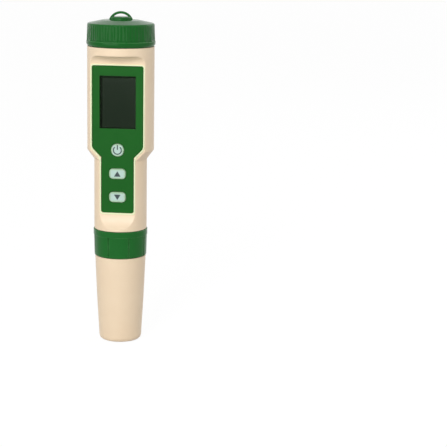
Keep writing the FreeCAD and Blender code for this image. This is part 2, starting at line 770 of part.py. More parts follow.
def make_lock_ring():
    ring = new_body("lock_ring")
    band_z = ring_top_z - s.ring_band
    pad_r = s.ring_top_r - s.ring_step
    revolve(ring, "ring_side", [
        (s.spigot_r + s.slip_gap, ring_z), (s.ring_foot_r - s.ring_step * 2, ring_z),
        (s.ring_foot_r, ring_z + s.ring_step * 2), (pad_r, band_z),
        (s.ring_top_r, band_z + s.ring_step), (s.ring_top_r, ring_top_z - s.ring_step),
        (s.ring_top_r - s.ring_step, ring_top_z),
        (s.collar_r + s.slip_gap, ring_top_z), (s.collar_r + s.slip_gap, ring_z + s.ring_lip),
        (s.spigot_r + s.slip_gap, ring_z + s.ring_lip),
    ])
    slot = sketch_on(ring, "ring_groove", "XY_Plane", ring_z)
    rectangle(slot, none, -(s.ring_foot_r - s.ring_groove_depth + s.ring_foot_r / 2),
              s.ring_groove_width, s.ring_foot_r)
    cut = pocket(ring, slot, s.ring_length - s.ring_band, backwards=True)
    around_axis(ring, cut, s.ring_pads)
    ring.Placement = FreeCAD.Placement(Vec(), FreeCAD.Rotation(Vec(0, 0, 1), s.ring_angle.number))
    return ring


# Probe

def make_probe_socket():
    """The socket in the foot of the housing that takes the probe's plug."""
    socket = new_body("probe_socket")
    body_r = s.collar_bore_r - s.slip_gap
    flange_r = s.grip_r - s.housing_wall - s.slip_gap
    top = seat_z + s.socket_flange
    revolve(socket, "socket_side", [
        (s.plug_r + s.slip_gap, collar_z + s.socket_lift), (body_r, collar_z + s.socket_lift),
        (body_r, seat_z), (flange_r, seat_z), (flange_r, top), (s.plug_r, top),
        (s.plug_r, top + s.socket_tail), (none, top + s.socket_tail),
        (none, plug_top_z + s.slip_gap), (s.plug_r + s.slip_gap, plug_top_z + s.slip_gap),
    ])
    side = sketch_on(socket, "flange_flat", "XZ_Plane", s.grip_r)
    rectangle(side, none, seat_z + s.socket_flange / 2, s.grip_r * 2, s.socket_flange)
    pocket(socket, side, s.grip_r - (s.flat_y - s.front_wall - s.slip_gap))
    hole = sketch_on(socket, "pin_hole", "XY_Plane", plug_top_z)
    circle(hole, none, -s.pin_circle_r, s.pin_r + s.key_gap)
    cut = pocket(socket, hole, s.pin_length + s.slip_gap, backwards=True)
    around_axis(socket, cut, s.pin_count)
    return socket


def make_probe_body():
    """Plug, flange, spigot and a slotted shroud round the sensors, in one moulding."""
    probe = new_body("probe_body")
    groove_r = s.spigot_r - s.seal_r * 2
    plug_groove_r = s.plug_r - s.seal_r * 2
    inner_r = s.shroud_r - s.shroud_wall
    revolve(probe, "probe_side", [
        (none, s.shroud_roof), (inner_r, s.shroud_roof), (inner_r, s.shroud_tip),
        (s.shroud_r, s.shroud_tip), (s.shroud_r, s.shroud_roof),
        (s.spigot_r, flange_z - s.spigot_length),
        (s.spigot_r, cover_seal_z - s.seal_r), (groove_r, cover_seal_z - s.seal_r),
        (groove_r, cover_seal_z + s.seal_r), (s.spigot_r, cover_seal_z + s.seal_r),
        (s.spigot_r, flange_z), (s.collar_r - s.face_gap, flange_z),
        (s.collar_r - s.face_gap, flange_top_z), (s.plug_r, flange_top_z),
        (s.plug_r, plug_seal_z - s.seal_r), (plug_groove_r, plug_seal_z - s.seal_r),
        (plug_groove_r, plug_seal_z + s.seal_r), (s.plug_r, plug_seal_z + s.seal_r),
        (s.plug_r, plug_top_z), (none, plug_top_z),
    ])
    slot = sketch_on(probe, "shroud_slot", "XZ_Plane")
    rectangle(slot, none, s.shroud_tip + s.slot_height / 2, s.slot_width, s.slot_height)
    cut = pocket(probe, slot, s.shroud_r * 2)
    around_axis(probe, cut, s.slot_count)
    sockets = sketch_on(probe, "sensor_sockets", "XY_Plane", s.shroud_roof)
    circle(sockets, none, none, s.tube_r + s.fit_gap)
    for x in (-s.sensor_circle_r, s.sensor_circle_r):
        circle(sockets, x, none, s.electrode_r + s.fit_gap)
    circle(sockets, none, s.sensor_circle_r, s.sensor_r + s.fit_gap)
    circle(sockets, none, -s.sensor_circle_r, s.junction_r + s.fit_gap)
    pocket(probe, sockets, s.socket_depth, backwards=True)
    return probe


def make_plug_pins():
    pins = []
    for index in range(int(s.pin_count.number)):
        angle = math.radians(360 / s.pin_count.number * index - 90)
        pins.append(solid(
            "Cylinder", f"pin_{index + 1}",
            (s.pin_circle_r * math.cos(angle), s.pin_circle_r * math.sin(angle), plug_top_z),
            Radius=s.pin_r, Height=s.pin_length,
        ))
    return group("plug_pins", pins)


def make_glass_electrode():
    """A thin glass tube, open at the top, with a round closed end."""
    glass = new_body("glass_electrode")
    top = s.shroud_roof + s.socket_depth
    tip = s.shroud_roof - s.glass_length
    tube_in = s.tube_r - s.glass_wall
    revolve(glass, "glass_side", [
        (none, tip), (s.tube_r * 0.5, tip + s.tube_r * 0.134), (s.tube_r * 0.866, tip + s.tube_r * 0.5),
        (s.tube_r, tip + s.tube_r), (s.tube_r, top), (tube_in, top), (tube_in, tip + s.tube_r),
        (tube_in * 0.866, tip + s.glass_wall + tube_in * 0.5),
        (tube_in * 0.5, tip + s.glass_wall + tube_in * 0.134), (none, tip + s.glass_wall),
    ])
    return glass


def make_bulb_wire():
    """The fine reference wire that hangs inside the glass."""
    tip = s.shroud_roof - s.glass_length + s.tube_r
    wire = new_body("bulb_wire")
    revolve(wire, "wire_side", [
        (none, tip), (s.bulb_wire_r, tip), (s.bulb_wire_r, s.shroud_roof + s.bulb_wire_r),
        (s.tube_r - s.glass_wall - s.fit_gap, s.shroud_roof + s.bulb_wire_r),
        (s.tube_r - s.glass_wall - s.fit_gap, s.shroud_roof + s.socket_depth),
        (none, s.shroud_roof + s.socket_depth),
    ])
    return wire


def make_sensors():
    depth = s.socket_depth
    pins = []
    for side in (-1, 1):
        pins.append(solid(
            "Cylinder", "left_electrode" if side < 0 else "right_electrode",
            (s.sensor_circle_r * side, none, s.shroud_roof - s.electrode_length),
            Radius=s.electrode_r, Height=s.electrode_length + depth,
        ))
    electrodes = group("conductivity_pins", pins)
    sensor = new_body("temperature_sensor")
    tip = s.shroud_roof - s.sensor_length
    revolve(sensor, "sensor_side", [
        (none, tip, s.sensor_r * quarter_rise), (s.sensor_r, tip + s.sensor_r),
        (s.sensor_r, s.shroud_roof + depth), (none, s.shroud_roof + depth),
    ])
    bind(sensor, "Placement.Base.y", s.sensor_circle_r)
    junction = solid(
        "Cylinder", "reference_junction",
        (none, -s.sensor_circle_r, s.shroud_roof - s.junction_r),
        Radius=s.junction_r, Height=depth + s.junction_r,
    )
    return [electrodes, sensor, junction]


# Protective cover

def make_protective_cover():
    cover = new_body("protective_cover")
    base_in = s.cover_base_r - s.cover_wall
    bore = s.spigot_r + s.slip_gap
    skirt_z = flange_z - s.spigot_length - s.slip_gap
    middle_r = (s.cover_base_r + s.cover_rim_r) / 2 + s.cover_bulge
    foot = s.cover_round
    revolve(cover, "cover_side", [
        (none, none), (s.cover_base_r - foot, none), (s.cover_base_r - foot * 0.5, foot * 0.13),
        (s.cover_base_r - foot * 0.1, foot * 0.5), (s.cover_base_r + foot * 0.05, foot),
        (middle_r, s.cover_length / 2),
        (s.cover_rim_r, s.cover_length),
        (bore, s.cover_length), (bore, skirt_z), (base_in, s.cover_floor + s.cover_wall),
        (base_in - s.cover_wall, s.cover_floor), (none, s.cover_floor),
    ])
    return cover


def make_sponge():
    sponge = new_body("storage_sponge")
    radius = s.cover_base_r - s.cover_wall * 2 - s.sponge_gap
    revolve(sponge, "sponge_side", [
        (none, s.cover_floor), (radius, s.cover_floor),
        (radius, s.cover_floor + s.sponge_height), (none, s.cover_floor + s.sponge_height),
    ])
    return sponge


def checked(piece):
    """Refuses a piece whose feature failed or whose solid is missing or broken."""
    shape = piece.Shape
    if shape.isNull() or not shape.isValid() or not shape.Solids:
        raise ValueError(f"{piece.Label}: no sound solid")
    return shape


def main():
    pieces = [
        make_protective_cover(), make_sponge(), make_lock_ring(), make_probe_body(),
        seal_ring("cover_seal_ring", s.spigot_r - s.seal_r - s.fit_gap, s.seal_r - s.fit_gap, cover_seal_z),
        seal_ring("plug_seal_ring", s.plug_r - s.seal_r - s.fit_gap, s.seal_r - s.fit_gap, plug_seal_z),
        make_plug_pins(), make_glass_electrode(), make_bulb_wire(), *make_sensors(),
        make_probe_socket(), make_housing(), make_front_panel(), *make_display(),
        make_key("power", power_z), make_key("up", up_z), make_key("down", down_z),
        make_circuit_board(), make_key_switches(), make_controller_chip(), make_board_parts(),
        make_battery_holder(), make_button_cells(), make_leaf_contact(),
        seal_ring("neck_seal_ring", s.neck_r - s.neck_seal_r, s.neck_seal_r - s.fit_gap, neck_seal_z),
        make_battery_cap(), make_contact_plate(),
    ]
    doc.recompute()
    failed = [o.Name for o in doc.Objects if "Invalid" in o.State or "Error" in o.State]
    if failed:
        raise ValueError("failed: " + ", ".join(failed))
    os.makedirs("parts", exist_ok=True)
    for piece in pieces:
        checked(piece).exportStep(f"parts/{piece.Label}.step")
        print(piece.Label, len(piece.Shape.Solids), round(piece.Shape.Volume, 1))


main()
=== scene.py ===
import math

import bpy
from mathutils import Matrix, Vector


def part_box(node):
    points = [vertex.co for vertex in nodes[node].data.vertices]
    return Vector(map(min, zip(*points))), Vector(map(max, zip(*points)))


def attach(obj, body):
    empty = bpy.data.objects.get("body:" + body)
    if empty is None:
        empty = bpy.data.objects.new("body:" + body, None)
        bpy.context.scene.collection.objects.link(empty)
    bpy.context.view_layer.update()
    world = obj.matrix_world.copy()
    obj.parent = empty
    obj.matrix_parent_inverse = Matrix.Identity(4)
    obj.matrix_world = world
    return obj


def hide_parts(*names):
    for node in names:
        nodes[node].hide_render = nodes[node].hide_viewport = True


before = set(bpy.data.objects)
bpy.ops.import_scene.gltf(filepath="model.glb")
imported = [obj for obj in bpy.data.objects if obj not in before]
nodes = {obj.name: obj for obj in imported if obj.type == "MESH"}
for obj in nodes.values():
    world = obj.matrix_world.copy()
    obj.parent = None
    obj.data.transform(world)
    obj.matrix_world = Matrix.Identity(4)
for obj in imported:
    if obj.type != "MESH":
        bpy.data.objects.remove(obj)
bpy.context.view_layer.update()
hair = 0.00001


def deselectAll():
    if bpy.context.object and bpy.context.object.mode != "OBJECT":
        bpy.ops.object.mode_set(mode="OBJECT")
    bpy.ops.object.select_all(action="DESELECT")


def pick(piece):
    deselectAll()
    piece.select_set(True)
    bpy.context.view_layer.objects.active = piece


def nameNew(name):
    piece = bpy.context.object
    piece.name = name
    piece.data.name = name
    return piece


def editFaces(piece, test):
    # leaves the piece in edit mode with the faces that pass the test selected
    pick(piece)
    bpy.ops.object.mode_set(mode="EDIT")
    bpy.ops.mesh.select_all(action="DESELECT")
    bpy.ops.object.mode_set(mode="OBJECT")
    for face in piece.data.polygons:
        face.select = bool(test(face.center, face.normal))
    bpy.ops.object.mode_set(mode="EDIT")
    bpy.ops.mesh.select_mode(type="FACE")


def editAll(piece):
    editFaces(piece, lambda c, n: True)


def leaveEdit():
    bpy.ops.object.mode_set(mode="OBJECT")


def editPoints(piece, test):
    # leaves the piece in edit mode with the points that pass the test selected
    pick(piece)
    bpy.ops.object.mode_set(mode="EDIT")
    bpy.ops.mesh.select_mode(type="VERT")
    bpy.ops.mesh.select_all(action="DESELECT")
    bpy.ops.object.mode_set(mode="OBJECT")
    for point in piece.data.vertices:
        point.select = bool(test(point.co))
    bpy.ops.object.mode_set(mode="EDIT")


def settle(piece):
    pick(piece)
    bpy.ops.object.transform_apply(location=True, rotation=True, scale=True)
    return piece


def smooth(piece, angle=35):
    pick(piece)
    bpy.ops.object.shade_smooth_by_angle(angle=math.radians(angle))
    return piece


def applyModifier(piece, modifier):
    pick(piece)
    bpy.ops.object.modifier_apply(modifier=modifier.name)


def dress(piece, material):
    piece.data.materials.clear()
    piece.data.materials.append(material)


def standUp(piece, y, z):
    # from lying on XY to standing with its face to -Y
    pick(piece)
    bpy.ops.transform.rotate(value=-math.pi / 2, orient_axis="X", center_override=(0, 0, 0))
    settle(piece)
    bpy.ops.transform.translate(value=(0, y, z))
    settle(piece)


def thicken(piece, depth):
    editAll(piece)
    bpy.ops.mesh.extrude_region_move(TRANSFORM_OT_translate={"value": (0, 0, depth)})
    bpy.ops.mesh.select_all(action="SELECT")
    bpy.ops.mesh.normals_make_consistent(inside=False)
    leaveEdit()


# fitted to the silhouette in the photo; lens and sensor are in millimetres, other lengths in metres
cameraSettings = {
    "distance": 0.800,
    "height": 0.2351,
    "azimuth": 9.5,
    "turn": 4.154,
    "tilt": 11.87,
    "roll": 0.976,
    "lens": 116.66,
    "sensor": 36.0,
    "clip": 0.01,
}


def makeCamera(c):
    bpy.ops.object.camera_add()
    camera = bpy.context.object
    camera.name = "photoCamera"
    a = math.radians(c["azimuth"])
    place = Matrix.Translation((c["distance"] * math.sin(a), -c["distance"] * math.cos(a), c["height"]))
    heading = Matrix.Rotation(a - math.radians(c["turn"]), 4, "Z")
    tilt = Matrix.Rotation(math.radians(90 - c["tilt"]), 4, "X")
    roll = Matrix.Rotation(math.radians(c["roll"]), 4, "Z")
    camera.matrix_world = place @ heading @ tilt @ roll
    camera.data.lens = c["lens"]
    camera.data.sensor_width = c["sensor"]
    camera.data.clip_start = c["clip"]
    bpy.context.scene.camera = camera


makeCamera(cameraSettings)
print("camera placed")


def startMaterial(name):
    material = bpy.data.materials.new(name)
    material.use_nodes = True
    tree = material.node_tree
    shader = tree.nodes["Principled BSDF"]
    return material, tree, shader


def feed(tree, node, inputs):
    for key, value in inputs.items():
        if isinstance(value, bpy.types.NodeSocket):
            tree.links.new(value, node.inputs[key])
        else:
            node.inputs[key].default_value = value


def addNode(tree, kind, inputs=None, **values):
    node = tree.nodes.new(kind)
    for key, value in values.items():
        setattr(node, key, value)
    feed(tree, node, inputs or {})
    return node


def startGroup(name, inputs, outputs):
    tree = bpy.data.node_groups.new(name, "ShaderNodeTree")
    for socketName, kind, value in inputs:
        socket = tree.interface.new_socket(name=socketName, in_out="INPUT", socket_type=kind)
        socket.default_value = value
    for socketName, kind in outputs:
        tree.interface.new_socket(name=socketName, in_out="OUTPUT", socket_type=kind)
    return tree, tree.nodes.new("NodeGroupInput"), tree.nodes.new("NodeGroupOutput")


def useGroup(tree, group, inputs):
    return addNode(tree, "ShaderNodeGroup", inputs, node_tree=group)


def mixColor(tree, factor, a, b):
    # a Mix node's colour sockets come after those for values and vectors
    return addNode(tree, "ShaderNodeMix", {0: factor, 6: a, 7: b}, data_type="RGBA").outputs[2]


def work(tree, operation, a, b=0.0, clamp=False):
    return addNode(tree, "ShaderNodeMath", {0: a, 1: b}, operation=operation, use_clamp=clamp).outputs[0]


def spread(tree, value, low, high, toLow=0.0, toHigh=1.0):
    return addNode(tree, "ShaderNodeMapRange", {
        "Value": value, "From Min": low, "From Max": high, "To Min": toLow,
        "To Max": toHigh}).outputs["Result"]


def ownPlace(tree):
    return addNode(tree, "ShaderNodeTexCoord").outputs["Object"]


def noiseAt(tree, place, scale, detail=2.0, roughness=0.5, distortion=0.0):
    return addNode(tree, "ShaderNodeTexNoise", {
        "Vector": place, "Scale": scale, "Detail": detail, "Roughness": roughness,
        "Distortion": distortion}).outputs["Fac"]


def cellsAt(tree, place, scale, randomness=1.0):
    return addNode(tree, "ShaderNodeTexVoronoi", {
        "Vector": place, "Scale": scale, "Randomness": randomness}).outputs["Distance"]


def showMixed(tree, factor, a, b):
    mixed = addNode(tree, "ShaderNodeMixShader", {0: factor, 1: a.outputs[0], 2: b.outputs[0]})
    tree.links.new(mixed.outputs[0], tree.nodes["Material Output"].inputs["Surface"])


def seenRays(tree):
    # 1 where the camera looks straight, in a reflection or through glass
    path = addNode(tree, "ShaderNodeLightPath")
    seen = work(tree, "MAXIMUM", path.outputs["Is Camera Ray"], path.outputs["Is Glossy Ray"])
    return work(tree, "MAXIMUM", seen, path.outputs["Is Transmission Ray"])


def rgb(red, green, blue):
    # a colour as seen on screen, 0 to 255
    def linear(v):
        v /= 255
        return v / 12.92 if v <= 0.04045 else ((v + 0.055) / 1.055) ** 2.4
    return (linear(red), linear(green), linear(blue), 1.0)


# moulded plastic: cloudy tint, fine flecks, spark-eroded grain
mouldSettings = {"cloudScale": 55.0, "smearScale": 160.0, "fleckShare": 0.12, "smearGloss": (-0.05, 0.07)}


def makeMouldGroup():
    s = mouldSettings
    tree, inside, out = startGroup(
        "mouldedGrain",
        [("Color", "NodeSocketColor", (0.5, 0.5, 0.5, 1)), ("Tint", "NodeSocketColor", (0.4, 0.4, 0.4, 1)),
         ("Cloud", "NodeSocketFloat", 0.15), ("Roughness", "NodeSocketFloat", 0.45),
         ("Grain Scale", "NodeSocketFloat", 3500.0)],
        [("Color", "NodeSocketColor"), ("Roughness", "NodeSocketFloat"), ("Height", "NodeSocketFloat")])
    place = ownPlace(tree)
    clouds = noiseAt(tree, place, s["cloudScale"], detail=5.0, roughness=0.6)
    grain = noiseAt(tree, place, inside.outputs["Grain Scale"])
    smears = noiseAt(tree, place, s["smearScale"], detail=4.0, distortion=1.5)
    factor = work(tree, "MULTIPLY", spread(tree, clouds, 0.35, 0.7), inside.outputs["Cloud"])
    fleck = work(tree, "MULTIPLY", spread(tree, grain, 0.6, 0.8), s["fleckShare"])
    tinted = mixColor(tree, factor, inside.outputs["Color"], inside.outputs["Tint"])
    flecked = mixColor(tree, fleck, tinted, inside.outputs["Tint"])
    rough = work(tree, "ADD", inside.outputs["Roughness"], spread(tree, smears, 0.35, 0.7, *s["smearGloss"]))
    feed(tree, out, {"Color": flecked, "Roughness": rough, "Height": grain})
    return tree


# rubbed edges: where the normal of a rounded edge turns away from the flat one, broken up by noise; turned up
# on the cap and lock ring, it is also a painted highlight on their edges
wearSettings = {"flat": 0.995, "edge": 0.8, "noiseScale": 160.0}


def makeWearGroup():
    s = wearSettings
    tree, inside, out = startGroup(
        "edgeRub", [("Width", "NodeSocketFloat", 0.0003), ("Amount", "NodeSocketFloat", 0.5)],
        [("Mask", "NodeSocketFloat")])
    rounded = addNode(tree, "ShaderNodeBevel", {"Radius": inside.outputs["Width"]}, samples=4)
    plain = addNode(tree, "ShaderNodeNewGeometry")
    dot = addNode(tree, "ShaderNodeVectorMath", {0: rounded.outputs["Normal"], 1: plain.outputs["Normal"]},
                  operation="DOT_PRODUCT").outputs["Value"]
    noise = noiseAt(tree, ownPlace(tree), s["noiseScale"])
    broken = work(tree, "MULTIPLY", spread(tree, dot, s["flat"], s["edge"]), spread(tree, noise, 0.25, 0.6))
    feed(tree, out, {"Mask": work(tree, "MULTIPLY", broken, inside.outputs["Amount"], True)})
    return tree


# dust that settles on what faces up
dustSettings = {"steepest": 0.5, "noiseScale": 900.0}


def makeDustGroup():
    s = dustSettings
    tree, inside, out = startGroup(
        "settledDust", [("Amount", "NodeSocketFloat", 0.1)], [("Mask", "NodeSocketFloat")])
    normal = addNode(tree, "ShaderNodeNewGeometry").outputs["Normal"]
    up = addNode(tree, "ShaderNodeSeparateXYZ", {0: normal}).outputs["Z"]
    noise = noiseAt(tree, ownPlace(tree), s["noiseScale"], detail=3.0)
    settled = work(tree, "MULTIPLY", spread(tree, up, s["steepest"], 1.0), spread(tree, noise, 0.4, 0.7))
    feed(tree, out, {"Mask": work(tree, "MULTIPLY", settled, inside.outputs["Amount"], True)})
    return tree


mouldGroup = makeMouldGroup()
wearGroup = makeWearGroup()
dustGroup = makeDustGroup()


def bumpInto(tree, shader, height, strength, distance):
    bump = addNode(tree, "ShaderNodeBump", {"Height": height, "Strength": strength, "Distance": distance})
    feed(tree, shader, {"Normal": bump.outputs["Normal"]})


def addRibs(tree, shader, ribs):
    # fine upright ribs round the side, under the grain
    split = addNode(tree, "ShaderNodeSeparateXYZ", {0: ownPlace(tree)})
    angle = work(tree, "ARCTAN2", split.outputs["X"], split.outputs["Y"])
    wave = work(tree, "ABSOLUTE", work(tree, "SINE", work(tree, "MULTIPLY", angle, ribs["count"] / 2)))
    onSide = work(tree, "MULTIPLY",
                  spread(tree, split.outputs["Z"], ribs["foot"], ribs["foot"] + ribs["fade"]),
                  spread(tree, split.outputs["Z"], ribs["top"], ribs["top"] - ribs["fade"]))
    under = addNode(tree, "ShaderNodeBump", {"Height": work(tree, "MULTIPLY", wave, onSide),
                                             "Strength": ribs["strength"], "Distance": ribs["deep"]})
    grain = shader.inputs["Normal"].links[0].from_node
    feed(tree, grain, {"Normal": under.outputs["Normal"]})


def useMould(tree, look):
    return useGroup(tree, mouldGroup, {"Color": look["color"], "Tint": look["tint"], "Cloud": look["cloud"],
                                       "Roughness": look["roughness"], "Grain Scale": look["grain"]})


def wearAway(tree, color, look):
    worn = useGroup(tree, wearGroup, {"Width": look["wearWidth"], "Amount": look["wear"]})
    return mixColor(tree, worn.outputs["Mask"], color, look["worn"])


dustColor = rgb(226, 222, 212)
grainDepth = 0.00003


def mouldedPlastic(name, look):
    material, tree, shader = startMaterial(name)
    mould = useMould(tree, look)
    color = wearAway(tree, mould.outputs["Color"], look)
    dust = useGroup(tree, dustGroup, {"Amount": look["dust"]}).outputs["Mask"]
    feed(tree, shader, {"Base Color": mixColor(tree, dust, color, dustColor),
                        "Roughness": mould.outputs["Roughness"], "IOR": 1.5,
                        "Specular IOR Level": look.get("shine", 0.5)})
    bumpInto(tree, shader, mould.outputs["Height"], look["bump"], grainDepth)
    if "ribs" in look:
        addRibs(tree, shader, look["ribs"])
    return material


creamLook = {"color": rgb(244, 221, 190), "tint": rgb(235, 208, 174), "cloud": 0.35, "roughness": 0.42,
             "grain": 3200.0, "wearWidth": 0.0004, "wear": 0.2, "worn": rgb(248, 234, 210), "dust": 0.1,
             "bump": 0.35}
# the cap's strong edge wear and pale worn green are partly rubbed wear and partly a painted highlight on the
# flange step and the edges; the lock ring takes them too
capWornAndLitLook = {"color": rgb(12, 95, 28), "tint": rgb(8, 82, 22), "cloud": 0.4, "roughness": 0.18, "shine": 0.16,
           "grain": 3200.0, "wearWidth": 0.0005, "wear": 0.9, "worn": rgb(84, 150, 88), "dust": 0.02,
           "bump": 0.2}
panelLook = {"color": rgb(16, 93, 22), "tint": rgb(12, 84, 20), "cloud": 0.4, "roughness": 0.45,
             "shine": 0.15, "grain": 4200.0, "wearWidth": 0.0003, "wear": 0.4, "worn": rgb(90, 140, 84),
             "dust": 0.05, "bump": 0.3}
probeLook = {"color": rgb(52, 55, 58), "tint": rgb(40, 43, 46), "cloud": 0.4, "roughness": 0.45,
             "grain": 3000.0, "wearWidth": 0.0003, "wear": 0.4, "worn": rgb(98, 100, 102), "dust": 0.05,
             "bump": 0.4}
blackLook = {"color": rgb(30, 30, 31), "tint": rgb(22, 22, 23), "cloud": 0.4, "roughness": 0.5,
             "grain": 3000.0, "wearWidth": 0.0003, "wear": 0.35, "worn": rgb(70, 70, 72), "dust": 0.08,
             "bump": 0.4}
creamPlastic = mouldedPlastic("creamPlastic", creamLook)
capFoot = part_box("battery_cap")[0].z
capRibs = {"count": 60, "foot": capFoot + 0.0034, "top": capFoot + 0.0118, "fade": 0.0004, "strength": 1.0,
           "deep": 0.0002}
capGreen = mouldedPlastic("capGreen", dict(capWornAndLitLook, ribs=capRibs))
ringGreen = mouldedPlastic("ringGreen", dict(capWornAndLitLook, color=rgb(22, 103, 36), tint=rgb(14, 90, 28)))
panelGreen = mouldedPlastic("panelGreen", panelLook)
probeGrey = mouldedPlastic("probeGrey", probeLook)
blackPlastic = mouldedPlastic("blackPlastic", blackLook)
print("plastics mixed")


# the keys have a pale moulded rim and a bluish white printed middle
keyLook = {"rim": rgb(160, 194, 156), "color": rgb(186, 213, 203), "tint": rgb(176, 204, 194), "cloud": 0.3,
           "roughness": 0.35, "grain": 4200.0, "wearWidth": 0.0003, "wear": 0.3, "worn": rgb(225, 238, 228),
           "fade": 0.0010, "bump": 0.3}
keyHalves = {"power_key": (0.0022, 0.0022), "up_key": (0.0033, 0.0016), "down_key": (0.0033, 0.0016)}


def keyFront(name):
    low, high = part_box(name)
    return low.y, (low.z + high.z) / 2


def keyMaterial(name, middle, half):
    material, tree, shader = startMaterial(name + "Face")
    mould = useMould(tree, keyLook)
    split = addNode(tree, "ShaderNodeSeparateXYZ", {0: ownPlace(tree)})
    raised = work(tree, "SUBTRACT", split.outputs["Z"], middle)
    squares = []
    for place, reach in zip((split.outputs["X"], raised), half):
        past = work(tree, "MAXIMUM", work(tree, "SUBTRACT", work(tree, "ABSOLUTE", place), reach), 0)
        squares.append(work(tree, "MULTIPLY", past, past))
    toRim = spread(tree, work(tree, "SQRT", work(tree, "ADD", *squares)), 0.0, keyLook["fade"])
    color = mixColor(tree, toRim, mould.outputs["Color"], keyLook["rim"])
    color = wearAway(tree, color, keyLook)
    feed(tree, shader, {"Base Color": color, "Roughness": mould.outputs["Roughness"]})
    bumpInto(tree, shader, mould.outputs["Height"], keyLook["bump"], grainDepth)
    return material


for keyName, half in keyHalves.items():
    dress(nodes[keyName], keyMaterial(keyName, keyFront(keyName)[1], half))


windowLook = {"color": (0.93, 0.96, 0.94, 1), "ior": 1.1, "smears": 110.0, "roughness": (0.02, 0.12)}
displayLook = {"dark": rgb(51, 67, 50), "light": rgb(57, 73, 56), "bands": 90.0, "stretch": (1, 1, 0.25),
               "roughness": (0.3, 0.38), "shine": 0.15, "cells": 5200.0, "cellColor": rgb(26, 34, 26),
               "cellShare": 0.1, "bump": 0.05, "deep": 0.00002}


def clearWindowMaterial():
    # lets light through to the display without a shadow
    look = windowLook
    material, tree, shader = startMaterial("clearWindow")
    smears = noiseAt(tree, ownPlace(tree), look["smears"], detail=6.0, distortion=2.0)
    feed(tree, shader, {"Roughness": spread(tree, smears, 0.35, 0.75, *look["roughness"]),
                        "Base Color": look["color"], "Transmission Weight": 1.0, "IOR": look["ior"]})
    shadow = addNode(tree, "ShaderNodeLightPath").outputs["Is Shadow Ray"]
    showMixed(tree, shadow, shader, addNode(tree, "ShaderNodeBsdfTransparent"))
    return material


def displayMaterial():
    look = displayLook
    material, tree, shader = startMaterial("sleepingDisplay")
    place = ownPlace(tree)
    stretched = addNode(tree, "ShaderNodeMapping", {"Vector": place, "Scale": look["stretch"]}).outputs[0]
    bands = noiseAt(tree, stretched, look["bands"], detail=3.0)
    cells = cellsAt(tree, place, look["cells"])
    tone = mixColor(tree, spread(tree, bands, 0.35, 0.65), look["dark"], look["light"])
    tone = mixColor(tree, work(tree, "MULTIPLY", cells, look["cellShare"]), tone, look["cellColor"])
    feed(tree, shader, {"Base Color": tone, "Roughness": spread(tree, bands, 0.3, 0.7, *look["roughness"]),
                        "Specular IOR Level": look["shine"]})
    bumpInto(tree, shader, cells, look["bump"], look["deep"])
    return material


dress(nodes["display_window"], clearWindowMaterial())
dress(nodes["lcd_glass"], displayMaterial())


metalStain = {"scale": 260.0, "share": 0.4, "rougher": 0.14, "bump": 0.15, "deep": 0.00002}


def metalMaterial(name, look):
    # drawn metal with streaks along its length and a little tarnish
    s = metalStain
    material, tree, shader = startMaterial(name)
    place = ownPlace(tree)
    drawn = addNode(tree, "ShaderNodeMapping", {"Vector": place, "Scale": look["stretch"]}).outputs[0]
    streaks = noiseAt(tree, drawn, look["scale"], detail=6.0)
    stain = noiseAt(tree, place, s["scale"], detail=4.0)
    color = mixColor(tree, spread(tree, streaks, 0.3, 0.7), look["color"], look["dark"])
    color = mixColor(tree, spread(tree, stain, 0.55, 0.8, 0.0, s["share"]), color, look["stain"])
    rough = spread(tree, streaks, 0.3, 0.7, look["roughness"], look["roughness"] + s["rougher"])
    feed(tree, shader, {"Base Color": color, "Roughness": rough, "Metallic": 1.0})
    bumpInto(tree, shader, streaks, s["bump"], s["deep"])
    return material


rubberLook = {"color": rgb(26, 26, 27), "tint": rgb(40, 40, 41), "cloud": 0.6, "roughness": 0.55,
              "grain": 5000.0, "dust": 0.2, "dustColor": rgb(150, 150, 146), "bump": 0.4, "deep": 0.00002}


def rubberMaterial():
    look = rubberLook
    material, tree, shader = startMaterial("sealRubber")
    mould = useMould(tree, look)
    dust = useGroup(tree, dustGroup, {"Amount": look["dust"]}).outputs["Mask"]
    feed(tree, shader, {"Base Color": mixColor(tree, dust, mould.outputs["Color"], look["dustColor"]),
                        "Roughness": mould.outputs["Roughness"]})
    bumpInto(tree, shader, mould.outputs["Height"], look["bump"], look["deep"])
    return material


boardLook = {"light": rgb(18, 84, 44), "dark": rgb(14, 72, 38), "weave": 2500.0, "run": rgb(42, 122, 66),
             "runScale": 320.0, "runWidth": 0.06, "runStep": 0.35, "hole": rgb(196, 178, 118),
             "holeScale": 420.0, "roughness": 0.3, "bump": 0.3, "deep": 0.00004}


def boardMaterial():
    # solder mask over copper runs that show as paler green
    look = boardLook
    black, white = (0, 0, 0, 1), (1, 1, 1, 1)
    material, tree, shader = startMaterial("solderMask")
    place = ownPlace(tree)
    turned = addNode(tree, "ShaderNodeMapping", {"Vector": place, "Rotation": (math.pi / 2, 0, 0)}).outputs[0]
    runs = addNode(tree, "ShaderNodeTexBrick", {
        "Vector": turned, "Scale": look["runScale"], "Mortar Size": look["runWidth"], "Color1": black,
        "Color2": black, "Mortar": white}, offset=look["runStep"]).outputs["Color"]
    holes = cellsAt(tree, place, look["holeScale"], randomness=0.6)
    weave = noiseAt(tree, place, look["weave"])
    color = mixColor(tree, spread(tree, weave, 0.3, 0.7), look["light"], look["dark"])
    color = mixColor(tree, runs, color, look["run"])
    color = mixColor(tree, spread(tree, holes, 0.12, 0.08), color, look["hole"])
    feed(tree, shader, {"Base Color": color, "Roughness": look["roughness"]})
    bumpInto(tree, shader, runs, look["bump"], look["deep"])
    return material


glassLook = {"color": (0.95, 0.98, 0.98, 1), "ior": 1.47, "ripples": 240.0, "roughness": (0.0, 0.06),
             "bump": 0.1, "deep": 0.0001}


